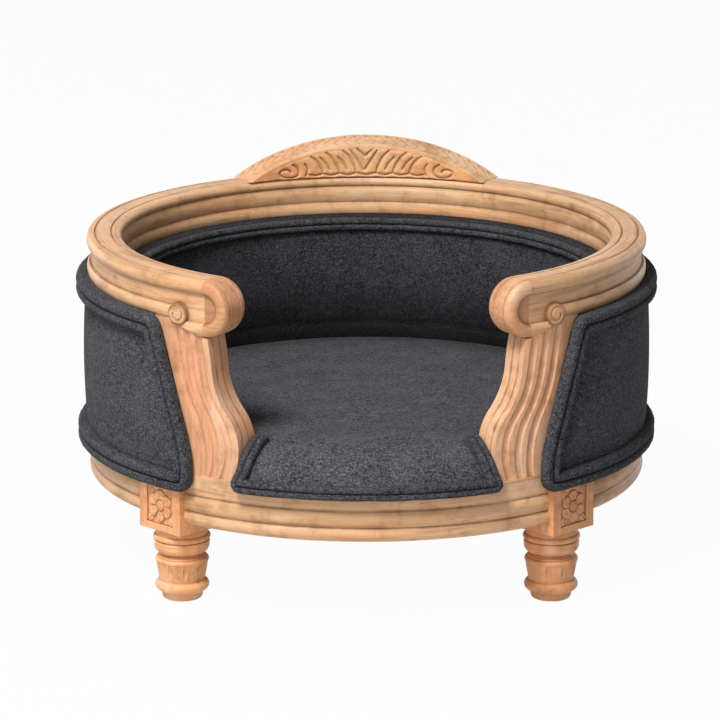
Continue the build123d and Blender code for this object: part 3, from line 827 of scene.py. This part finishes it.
class SOFA_OT_rosettes(bpy.types.Operator):
    """Carve the rosettes on the leg blocks"""

    bl_idname = "dog_sofa.rosettes"
    bl_label = "Carve Rosettes"

    def execute(self, context):
        sizes = context.scene.sofa_sizes
        recess, recess_floor, heart, ground = 0.0438, 0.337, 0.1175, 0.0014
        count = 97
        line = np.linspace(-recess / 2, recess / 2, count)
        u, v = np.meshgrid(line, line)
        radius = np.hypot(u, v)
        angle = np.arctan2(v, u)
        # Round petals, each dished and with a vein, that lie one over the next
        step = 2 * pi / sizes.petals
        petal_place, petal_size = 0.0116, 0.0077
        nearest = np.round((angle - pi / 2) / step) * step + pi / 2
        along = radius * np.cos(angle - nearest) - petal_place
        aside = radius * np.sin(angle - nearest)
        lobe = np.hypot(along, aside) / petal_size
        dish = 0.0021 + 0.0010 * lobe ** 2 + 0.0009 * aside / 0.0058 - 0.0004 * np.exp(
            -(aside / 0.0007) ** 2) * ease((along + 0.004) / 0.004)
        inside = (lobe < 1) | ((radius < 0.0125) & (radius > 0.004))
        rim = np.sqrt(np.clip(1 - np.where(along > 0, lobe, 0) ** 8, 0, 1))
        relief = ground + dish * rim * inside
        # Cuts between the petals and round the button
        gap = np.abs(np.abs(angle - nearest) * radius - radius * step / 2)
        relief -= 0.0008 * np.exp(-(gap / 0.0006) ** 2) * (radius < 0.0150) * (radius > 0.006)
        relief -= 0.0015 * np.exp(-((radius - 0.0069) / 0.0009) ** 2)
        button_radius, button_height = 0.0064, 0.0052
        button = np.sqrt(np.clip(1 - (radius / button_radius) ** 2, 0, 1))
        relief = np.maximum(relief, button_height * button)
        # A leaf points into each corner
        leaf_place, leaf_length, leaf_width = 0.0170, 0.0066, 0.0049
        for sx, sy in ((-1, -1), (-1, 1), (1, -1), (1, 1)):
            lx = (u - sx * leaf_place) * sx
            ly = (v - sy * leaf_place) * sy
            ahead = (lx + ly) / 2 ** 0.5
            beside = (lx - ly) / 2 ** 0.5
            q = np.hypot(ahead / leaf_length, beside / leaf_width)
            leaf = 0.0034 * np.sqrt(np.clip(1 - q ** 3, 0, 1)) - 0.0008 * np.exp(
                -(beside / 0.0006) ** 2) * (q < 0.9)
            relief = np.where(q < 1, np.maximum(relief, leaf), relief)
        relief = np.maximum(relief, ground)
        edge = np.minimum(recess / 2 - np.abs(u), recess / 2 - np.abs(v))
        relief = np.where(edge < 0.0002, -0.0005, relief)
        # Dirt and painted shade: the timber darkens the sunken places of the rosette by this mark
        cut = hollows(relief, 8, 0.00055).ravel()
        for node, turn in (
            ("leg_front_right", 45.0), ("leg_rear_right", 135.0),
            ("leg_rear_left", 225.0), ("leg_front_left", -45.0),
        ):
            points = facing_spot(
                turn, u.ravel(), recess_floor + relief.ravel(), heart + v.ravel())
            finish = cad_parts[node].data.materials[0]
            make_piece(
                f"rosette_{node}", points, sheet_faces(count, count), finish,
                (), CARVED_CREASE, {"cut": cut})
        return {"FINISHED"}


class SOFA_OT_scroll_eyes(bpy.types.Operator):
    """Carve the spiral in the eye of each arm scroll"""

    bl_idname = "dog_sofa.scroll_eyes"
    bl_label = "Carve Scroll Eyes"

    def execute(self, context):
        eye_turn, eye_radius = radians(6.2), 0.0121
        reach = FRAME_RADIUS * cos(eye_turn) + 0.0008
        offset = FRAME_RADIUS * sin(eye_turn)
        rings, rays = 30, 120
        share = np.linspace(0, 1, rings)[:, None]
        angle = np.linspace(0, 2 * pi, rays, endpoint=False)[None]
        radius = share * eye_radius + 0 * angle
        angle = angle + 0 * radius
        # The cut starts under the eye, runs round its outer side and curls in to the middle
        start, laps, cut_width = radians(-100), 1.35, 0.0009
        depth = np.zeros(radius.shape)
        for lap in range(3):
            swept = np.mod(angle - start, 2 * pi) + lap * 2 * pi
            line = eye_radius * (0.97 - 0.42 * swept / (2 * pi))
            cut = np.exp(-((radius - line) / cut_width) ** 2)
            depth = np.maximum(depth, cut * (swept < 2 * pi * laps))
        relief = 0.0013 * (1 - share ** 4) + 0.0004 - 0.0030 * depth
        relief = np.where(share > 0.985, -0.0012, relief)
        along = offset + radius * np.cos(angle)
        up = EYE_HEIGHT + radius * np.sin(angle)
        for side, name in ((1, "right"), (-1, "left")):
            points = facing_spot(
                side * SCROLL_TURN, side * along.ravel(), reach + relief.ravel(), up.ravel())
            faces = sheet_faces(rings, rays, True)
            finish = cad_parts[f"top_rail_{name}"].data.materials[0]
            # The timber darkens the spiral cut by this mark: dirt with painted shade
            make_piece(
                f"scroll_eye_{name}", points, faces, finish, (), CARVED_CREASE,
                {"cut": (0.9 * depth).ravel()})
        return {"FINISHED"}


class SOFA_OT_outer_panel(bpy.types.Operator):
    """Stretch the wool panel round the outside of the frame"""

    bl_idname = "dog_sofa.outer_panel"
    bl_label = "Outer Panel"

    def execute(self, context):
        sizes = context.scene.sofa_sizes
        bottom, top, back, face = PANEL_BOTTOM, PAD_TOP, 0.3333, 0.338
        border, corner = 0.01755, 0.013
        heights = np.sort(np.concatenate([
            np.linspace(bottom, top, 50), bottom + np.array([0.0005, 0.0015]),
            top - np.array([0.0005, 0.0015])]))
        short = np.clip(corner - np.minimum(heights - bottom, top - heights), 0, corner)
        rounding = corner - np.sqrt(corner ** 2 - short ** 2)
        start = PANEL_FRONT_TURN + np.degrees(
            np.arcsin((panel_edge(heights) + 0.0035 + rounding) / face))
        turn = start + np.linspace(0, 1, 380)[:, None] * (FULL_TURN - 2 * start)
        height = heights + 0 * turn
        low, high = bottom + border, top - border
        middle, half = (low + high) / 2, (high - low) / 2
        rise = np.clip(1 - ((height - middle) / half) ** 2, 0, 1)
        ahead = np.minimum(turn - start, FULL_TURN - start - turn) * face * pi / 180
        inside = ease((ahead - border) / 0.03)
        # Near the welts the cloth is pulled in small puckers; the rest swells unevenly
        flat = spot(turn, face, height)
        near = np.minimum(np.minimum(height - low, high - height), ahead - border)
        pull = np.exp(-np.clip(near, 0, 1) / 0.012)
        bumps = 0.0005 * ripple(flat, 0.018, 3.0) * pull + 0.0009 * ripple(flat, 0.11, 7.0)
        rim = 0.0016 * np.exp(-(np.clip(near, -0.004, 1) / 0.004) ** 2)
        radius = face + sizes.panel_crown * rise * inside + bumps * ease(
            (near + 0.01) / 0.01) - rim
        edge = np.minimum(ahead, np.minimum(height - bottom, top - height))
        radius = radius - 0.0035 * np.clip(1 - edge / 0.003, 0, 1) ** 2
        rear_rows = np.arange(53, -1, -8)
        rear = spot(turn[:, rear_rows], back, height[:, rear_rows])
        loose = np.concatenate([ease((near - 0.002) / 0.016), 0 * rear[..., 0]], 1).ravel()
        piece = stretch_cloth(
            "outer_panel_cloth", np.concatenate([spot(turn, radius, height), rear], 1), loose,
            heather_wool("wool_outer_panel", tone_and_painted_light=1.02), "outer_panel")

        # The double welt goes right round the panel's border
        inset, samples = 0.01125, 1500
        side = np.linspace(bottom + inset, top - inset, 90)
        sweep = PANEL_FRONT_TURN + np.degrees(np.arcsin((panel_edge(side) + inset) / face))
        runs = (
            (np.linspace(FULL_TURN - sweep[0], sweep[0], samples), np.full(samples, side[0])),
            (sweep, side),
            (np.linspace(sweep[-1], FULL_TURN - sweep[-1], samples), np.full(samples, side[-1])),
            (FULL_TURN - sweep[::-1], side[::-1]))
        loop = np.concatenate([np.stack(run, -1)[:-1] for run in runs])
        loop[:, 0] *= face * pi / 180
        loop = soften(even(loop, 0.0026, True), 7, True)
        turns = loop[:, 0] / (face * pi / 180)
        stations = double_welt(
            spot(turns, face + 0.0002, loop[:, 1]), spot(turns, 1.0, 0.0), sizes.panel_cord,
            2.0, True)
        sew_welt("outer_panel_welt", "wool_panel_welt", stations, (
            "outer_welt_bottom", "outer_welt_top", "outer_welt_front_left",
            "outer_welt_front_right"), True)
        return {"FINISHED"}


class SOFA_OT_inner_back(bpy.types.Operator):
    """Upholster the inner back and run its double welt under the rail"""

    bl_idname = "dog_sofa.inner_back"
    bl_label = "Inner Back"

    def execute(self, context):
        sizes = context.scene.sofa_sizes
        bottom, top, back, face, border_face = PAD_BOTTOM, PAD_TOP, 0.2937, 0.281, 0.2835
        opening, seat_line = 36.5, 0.2083
        border = top - 0.0164
        heights = np.concatenate([
            np.linspace(bottom, border, 46), np.linspace(border + 0.001, top, 5)])
        turn = np.linspace(opening, FULL_TURN - opening, 380)[:, None] + 0 * heights
        height = heights + 0 * turn
        share = np.clip((height - seat_line) / (border - seat_line), 0, 1)
        crown = sizes.back_crown * np.clip(1 - (2 * share - 1) ** 2, 0, 1) * (
            height > seat_line)
        place = spot(turn, face, height)
        end = np.minimum(turn - opening, FULL_TURN - opening - turn) * face * pi / 180
        pull = np.exp(-np.clip(border - height, 0, 1) / 0.014)
        folds = 0.0007 * ripple(place * (1, 1, 0.25), 0.030, 4.0) * np.exp(-end / 0.09)
        bumps = 0.0010 * ripple(place, 0.10, 1.0) + 0.0006 * ripple(place, 0.020, 2.0) * pull
        radius = np.where(
            height > border, border_face,
            face - crown - (bumps + folds) * ease((border - height) / 0.008))
        radius = radius + (back - face - 0.001) * np.clip(1 - end / 0.009, 0, 1) ** 2.2
        # The cloth goes on up behind the welt and shuts the gap under the rail
        top_row, lift = 50, 0.0032
        rear_rows = np.arange(top_row, -1, -8)
        rear = spot(
            turn[:, rear_rows], back, height[:, rear_rows] + lift * (rear_rows == top_row))
        loose = ease((border - height - 0.003) / 0.016) * ease(end / 0.02) * ease(
            (height - 0.196) / 0.012)
        loose = np.concatenate([loose, 0 * rear[..., 0]], 1).ravel()
        # Painted shade: the inner back's wool is made darker, and darker still towards the seat
        piece = stretch_cloth(
            "inner_back_cloth", np.concatenate([spot(turn, radius, height), rear], 1), loose,
            heather_wool("wool_inner_back", tone_and_painted_light=0.80, shelter_shade=0.97), "inner_back_pad")

        turns = np.linspace(opening + 0.5, FULL_TURN - 0.5 - opening, 640)
        path = spot(turns, border_face - 0.0002, top - 0.0081)
        stations = double_welt(path, -spot(turns, 1.0, 0.0), sizes.back_cord, 5.0)
        sew_welt(
            "inner_back_double_welt", "wool_back_welt", stations, ("inner_back_welt",))
        return {"FINISHED"}


def seat_height(sizes, plan):
    """Height of the seat's cloth over places of the plan."""
    lip, roll_start, forward, pad_edge = 0.3370, 0.2925, 0.150, 0.2807
    x, y = plan[..., 0], plan[..., 1]
    radius = np.hypot(x, y)
    # A very shallow ball, highest a little in front of the middle
    ball = (pad_edge + forward) ** 2 / (2 * sizes.seat_drop)
    crown = sizes.seat_crown - (x ** 2 + (y + forward) ** 2) / (2 * ball)
    # The front rolls down to its lip, with a belly and then a slight rise behind it
    belly, rise_behind, soft = 0.007, 0.012, 0.0035
    share = (lip - radius) / (lip - roll_start)
    fall = sizes.seat_lip + (sizes.seat_crown - sizes.seat_lip) * share + (
        belly * 4 * share * (1 - share))
    fall = np.where(share > 1, sizes.seat_crown + (share - 1) * rise_behind, fall)
    mixed = np.clip(0.5 + 0.5 * (fall - crown) / soft, 0, 1)
    top = fall * (1 - mixed) + crown * mixed - soft * mixed * (1 - mixed)
    lip_radius = 0.0043
    over = np.clip((radius - lip) / lip_radius, 0, 1)
    roll = sizes.seat_lip - lip_radius * (1 - np.sqrt(np.clip(1 - over ** 2, 0, 1)))
    return np.where(radius < lip, top, roll)


def seat_side(sizes, out, inset=0.0):
    """The seat's side edge beside the right-hand post, out along the post's turn."""
    out = np.asarray(out, float)
    clearance, round_off = 0.0004, 0.0050 * ease((out - 0.322) / 0.014)
    along = np.full(out.shape, -0.006)
    for _ in range(3):
        plan = facing_spot(POST_TURN, along, out, 0.0)[..., :2]
        along = post_edge(seat_height(sizes, plan)) - (clearance + inset + round_off)
    return facing_spot(POST_TURN, along, out, seat_height(sizes, plan))


class SOFA_OT_seat(bpy.types.Operator):
    """Upholster the seat, with its tongue over the front rail and its double welt"""

    bl_idname = "dog_sofa.seat"
    bl_label = "Seat"

    def execute(self, context):
        sizes = context.scene.sofa_sizes
        face, tongue_bottom = 0.3413, 0.1530
        # Plan of the right half, from the middle of the front round to the middle of the back
        corner = POST_TURN - degrees(0.0054 / face)
        front = spot(np.linspace(0, corner, 60), face, 0.0)[:, :2]
        out = np.linspace(face * 0.999, 0.2945, 22)
        side = seat_side(sizes, out)[:, :2]
        behind = spot(np.linspace(27.5, 36.0, 12), 0.2934, 0.0)[:, :2]
        around = spot(np.linspace(36.4, 180, 190), 0.2804, 0.0)[:, :2]
        half = np.concatenate([front, side, behind, around])
        whole = np.concatenate([half, (half * (-1, 1))[::-1][1:-1]])
        outline = soften(even(whole, 0.0040, True), 4, True)
        count = len(outline)
        # Each column leaves an inner circle and fans out to the edge
        reach = np.hypot(outline[:, 0], outline[:, 1])
        bearing = np.unwrap(np.arctan2(outline[:, 0], -outline[:, 1]))
        steady = np.linspace(bearing[0], bearing[0] + 2 * pi, count, endpoint=False)
        fan, ring_radius = np.degrees(0.45 * bearing + 0.55 * steady), 0.238
        ring = spot(fan, ring_radius, 0.0)[:, :2]
        plan = np.stack(
            [ring * share for share in np.linspace(0.03, 1, 26)]
            + [ring * (1 - share) + outline * share for share in np.linspace(0, 1, 27)[1:]])
        height = seat_height(sizes, plan)
        edge = np.linalg.norm(plan - outline[None], axis=-1)
        # The edge is drawn down beside the back pad, and a little beside the posts
        at_back = ease((0.288 - reach) / 0.004)[None]
        at_side = (ease((0.3395 - reach) / 0.002) * ease((reach - 0.286) / 0.004))[None]
        near = np.clip(1 - edge / 0.016, 0, 1)
        height = height - sizes.seat_tuck * at_back * near ** 2
        height = height - 0.0016 * at_side * np.clip(1 - edge / 0.006, 0, 1) ** 2
        place = np.concatenate([plan, np.zeros(plan.shape[:2] + (1,))], -1)
        height = height + 0.0011 * ripple(place, 0.09, 2.5) * ease(edge / 0.02)
        height = height + 0.0004 * ripple(place, 0.022, 5.5) * np.exp(-edge / 0.03) * ease(
            edge / 0.003)
        top = np.concatenate([plan, height[..., None]], -1)
        # The tongue hangs in front of the rail, then the underside steps back over it
        rail_face, pad_edge, over_rail = 0.3336, 0.2937, RAIL_TOP + 0.0005
        step_back = np.where(reach > pad_edge, over_rail, PAD_BOTTOM)
        rim = top[-1]
        low = rim.copy()
        low[:, 2] = np.minimum(
            np.where(reach > 0.3337, tongue_bottom, step_back), rim[:, 2] - 0.001)
        inner = low.copy()
        inner[:, :2] *= (np.minimum(reach, rail_face) / reach)[:, None]
        raised = inner.copy()
        raised[:, 2] = step_back
        tucked = raised.copy()
        tucked[:, :2] *= (np.minimum(reach, 0.2933) / reach)[:, None]
        base = tucked.copy()
        base[:, 2] = PAD_BOTTOM
        under = np.stack([(rim + low) / 2, low, inner, raised, tucked, base])
        loose = np.concatenate(
            [ease((edge - 0.010) / 0.024), np.zeros((len(under), count))]).ravel()
        # Painted light: the seat's wool is made brighter as if lit from above, with painted shade
        # near the back pad
        piece = stretch_cloth(
            "seat_cloth", np.concatenate([top, under]), loose,
            heather_wool("wool_seat", lie="across", tone_and_painted_light=1.24, shelter_shade=0.50), "seat_pad", 0.23)

        # Double welt: down each side of the tongue, round its corners and along its foot
        width = sizes.seat_cord * 2 + 0.0002
        out = np.linspace(0.2895, 0.3375, 30)
        side = seat_side(sizes, out, width)
        plan, nudge = side[:, :2], 0.0005
        slopes = [
            (seat_height(sizes, plan + step) - seat_height(sizes, plan - step)) / (2 * nudge)
            for step in (np.array([nudge, 0]), np.array([0, nudge]))]
        side_normal = np.stack([-slopes[0], -slopes[1], np.ones(len(plan))], -1)
        side_normal /= np.linalg.norm(side_normal, axis=1, keepdims=True)
        foot_height = tongue_bottom + width + 0.0006
        corner = POST_TURN - degrees((width + 0.0060) / face)
        turns = np.linspace(corner, -corner, 160)
        foot = spot(turns, face + 0.0002, foot_height)
        foot_normal = spot(turns, 1.0, 0.0)
        flip = np.array([-1.0, 1.0, 1.0])
        path = np.concatenate([side, foot, (side * flip)[::-1]])
        normal = np.concatenate([side_normal, foot_normal, (side_normal * flip)[::-1]])
        # Places and directions are evened and softened together
        weight, stride = 0.02, 0.0024
        both = soften(even(np.concatenate([path, normal * weight], 1), stride), 5)
        path, normal = both[:, :3], both[:, 3:] / weight
        # Its ends dive into the cloth
        end_gap = stride * np.minimum(np.arange(len(path)), np.arange(len(path))[::-1])
        path = path - normal * 0.008 * (1 - ease(end_gap / 0.009))[:, None]
        stations = double_welt(path, normal, sizes.seat_cord, 8.0)
        sew_welt("seat_double_welt", "wool_seat_welt", stations, ("seat_welt",))
        return {"FINISHED"}


def seen_directly(tree):
    """1 for rays of the camera, of mirrors and of glass, 0 for light that falls on things."""
    rays = put(tree, "ShaderNodeLightPath")
    return sum_of(tree, "MAXIMUM", rays.outputs["Is Camera Ray"], sum_of(
        tree, "MAXIMUM", rays.outputs["Is Glossy Ray"], rays.outputs["Is Transmission Ray"]))


def aim_at(thing, target):
    """Turn a lamp or a camera towards a place and put it in the scene."""
    thing.rotation_euler = (target - thing.location).to_track_quat("-Z", "Y").to_euler()
    bpy.context.scene.collection.objects.link(thing)


class SOFA_OT_stage(bpy.types.Operator):
    """Set the floor, the soft lights and the camera"""

    bl_idname = "dog_sofa.stage"
    bl_label = "Stage"

    def execute(self, context):
        scene = context.scene
        scene.view_settings.view_transform = "Standard"
        half_width, gap_below = 9, 0.0005
        mesh = bpy.data.meshes.new("studio_floor")
        mesh.from_pydata([
            (x * half_width, y * half_width, 0)
            for x, y in ((-1, -1), (1, -1), (1, 1), (-1, 1))], [], [(0, 1, 2, 3)])
        floor = bpy.data.objects.new("studio_floor", mesh)
        floor.location.z = -gap_below
        scene.collection.objects.link(floor)
        finish, tree = new_finish("floor_white")
        paper = put(tree, "ShaderNodeBsdfDiffuse", {0: (*scene.sofa_colours.floor, 1.0)})
        glow = put(tree, "ShaderNodeEmission", {1: 1.0})
        # The little that is left of the paper keeps the shadow
        both = put(tree, "ShaderNodeMixShader", {
            0: times(tree, seen_directly(tree), 0.97), 1: paper.outputs[0],
            2: glow.outputs[0]})
        put(tree, "ShaderNodeOutputMaterial", {0: both.outputs[0]})
        mesh.materials.append(finish)

        world = bpy.data.worlds.new("studio_air")
        scene.world = world
        world.use_nodes = True
        tree = world.node_tree
        tree.nodes.clear()
        strength = put(tree, "ShaderNodeMapRange", {0: seen_directly(tree), 3: 0.13, 4: 1.0})
        air = put(tree, "ShaderNodeBackground", {"Strength": strength.outputs[0]})
        put(tree, "ShaderNodeOutputWorld", {0: air.outputs[0]})

        middle = Vector((0, 0, 0.22))
        for name, place, size, power in (
            ("key_light", (-1.3, -2.1, 3.8), 1.5, 195.0),
            ("front_light", (-1.1, -3.9, 1.6), 1.6, 40.0),
            ("back_light_left", (-2.8, 2.8, 0.9), 1.6, 26.0),
            ("back_light_right", (2.8, 2.8, 0.9), 1.6, 20.0),
        ):
            lamp = bpy.data.lights.new(name, "AREA")
            lamp.shape = "DISK"
            lamp.size = size
            lamp.energy = power
            light = bpy.data.objects.new(name, lamp)
            light.location = place
            aim_at(light, middle)

        lens = bpy.data.cameras.new("photo_camera")
        lens.lens = 206.2
        lens.sensor_width = 36.0
        camera = bpy.data.objects.new("photo_camera", lens)
        tilt, distance = radians(14.57), 5.0
        aim = Vector((-0.0078, 0.0, 0.2303))
        camera.location = aim + Vector((0, -distance * cos(tilt), distance * sin(tilt)))
        aim_at(camera, aim)
        scene.camera = camera
        return {"FINISHED"}


class SOFA_PT_panel(bpy.types.Panel):
    """Pieces of the dog sofa, in the order in which they are made"""

    bl_idname = "SOFA_PT_panel"
    bl_label = "Dog Sofa"
    bl_space_type = "VIEW_3D"
    bl_region_type = "UI"
    bl_category = "Dog Sofa"

    def draw(self, context):
        column = self.layout.column()
        for step in making:
            column.operator(step.bl_idname)
        for group in (context.scene.sofa_sizes, context.scene.sofa_colours):
            for name in group.__annotations__:
                column.prop(group, name)


making = (
    SOFA_OT_stage, SOFA_OT_timber, SOFA_OT_crest, SOFA_OT_rosettes, SOFA_OT_scroll_eyes,
    SOFA_OT_outer_panel, SOFA_OT_inner_back, SOFA_OT_seat,
)


def register():
    """Add the classes and the sofa's properties."""
    for kind in (SofaSizes, SofaColours, *making, SOFA_PT_panel):
        bpy.utils.register_class(kind)
    bpy.types.Scene.sofa_sizes = PointerProperty(type=SofaSizes)
    bpy.types.Scene.sofa_colours = PointerProperty(type=SofaColours)


def unregister():
    """Take the classes and the properties away again."""
    del bpy.types.Scene.sofa_sizes
    del bpy.types.Scene.sofa_colours
    for kind in reversed((SofaSizes, SofaColours, *making, SOFA_PT_panel)):
        bpy.utils.unregister_class(kind)


def main():
    """Make the whole sofa."""
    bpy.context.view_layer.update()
    register()
    bpy.ops.dog_sofa.stage()
    bpy.ops.dog_sofa.timber()
    bpy.ops.dog_sofa.crest()
    bpy.ops.dog_sofa.rosettes()
    bpy.ops.dog_sofa.scroll_eyes()
    bpy.ops.dog_sofa.outer_panel()
    bpy.ops.dog_sofa.inner_back()
    bpy.ops.dog_sofa.seat()


if __name__ == "__main__":
    main()
